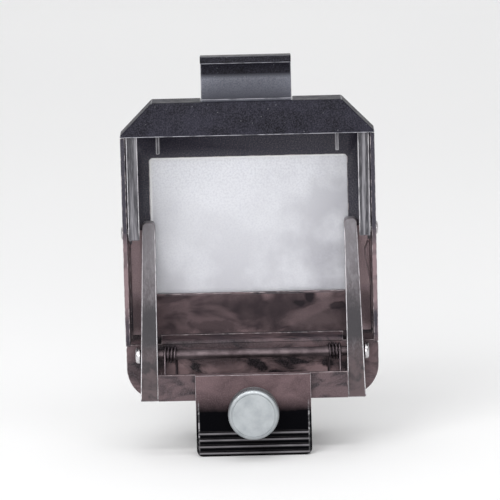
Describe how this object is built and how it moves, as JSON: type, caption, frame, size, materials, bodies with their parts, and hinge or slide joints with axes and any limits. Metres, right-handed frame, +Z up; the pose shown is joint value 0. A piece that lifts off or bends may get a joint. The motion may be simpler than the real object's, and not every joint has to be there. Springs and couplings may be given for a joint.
{
  "type": "slide duplicator",
  "caption": "Lens-front slide copying stage: opal window in a bent sheet holder, swing-down hood bail, sprung clamp rails and a thumb screw that grips a post.",
  "frame": {"origin": "on the optical axis, at the front face of the stage plate that the slide leans on", "axes": "+Z up, +X to the right as seen from the lens, -Y forward to the lens, +Y to the light behind the window"},
  "size_m": [0.058, 0.0335, 0.0905],
  "materials": {
    "stage_finish": "black finish browned with age, satin",
    "velvet": "dark brown velvet",
    "felt": "black felt",
    "opal": "opal white, matt front",
    "frame_black": "satin black",
    "screw_steel": "bright steel",
    "spring_steel": "blued spring steel",
    "pin_steel": "turned steel",
    "block_finish": "black anodised",
    "hood_enamel": "blue-black enamel, satin gloss",
    "arm_finish": "worn black with bright edges",
    "tab_enamel": "black enamel, glossy",
    "rail_finish": "worn black with bright edges",
    "strip_finish": "black finish browned with age, satin",
    "tongue_finish": "black, browned above the knob",
    "knob_metal": "pale satin, turned",
    "fibre": "vulcanised fibre"
  },
  "bodies": {
    "stage": {"stage_plate": "stage_finish", "velvet_lining": "velvet", "felt_gasket": "felt", "opal_pane": "opal", "pane_frame": "frame_black", "rear_frame": "frame_black", "pane_screws": "screw_steel", "side_leaf_spring": "spring_steel", "right_side_pin": "pin_steel", "left_side_pin": "pin_steel", "hinge_rod": "pin_steel", "rod_cap": "pin_steel", "right_torsion_spring": "spring_steel", "left_torsion_spring": "spring_steel", "rail_block": "block_finish", "block_screws": "screw_steel"},
    "bail": {"hood_plate": "hood_enamel", "right_arm": "arm_finish", "left_arm": "arm_finish", "finger_tab": "tab_enamel"},
    "clamp_frame": {"right_rail": "rail_finish", "left_rail": "rail_finish", "cross_strip": "strip_finish", "ribbed_tongue": "tongue_finish"},
    "screw_feed": {"knob_washer": "fibre"},
    "knob": {"clamp_knob": "knob_metal", "clamp_screw": "screw_steel"}
  },
  "joints": [
    {"name": "bail_hinge", "type": "hinge", "parent": "stage", "child": "bail", "pos_m": [0, -0.008, 0], "axis": [1, 0, 0], "range_deg": [0, 90]},
    {"name": "clamp_hinge", "type": "hinge", "parent": "stage", "child": "clamp_frame", "pos_m": [0, -0.01, -0.0278], "axis": [1, 0, 0], "range_deg": [0, 12], "stiffness_Nm_per_rad": 0.05, "springref_deg": -20.05, "deforming": ["right_torsion_spring", "left_torsion_spring"]},
    {"name": "screw_feed_slide", "type": "slide", "parent": "stage", "child": "screw_feed", "axis": [0, 1, 0], "range_m": [-0.0021, 0.0007]},
    {"name": "knob_turn", "type": "hinge", "parent": "screw_feed", "child": "knob", "pos_m": [0, -0.022, -0.0393], "axis": [0, 1, 0], "range_deg": [-1085, 365]}
  ],
  "couplings": [
    {"joint": "knob_turn", "follows": "screw_feed_slide", "rad_per_m": 8976}
  ]
}
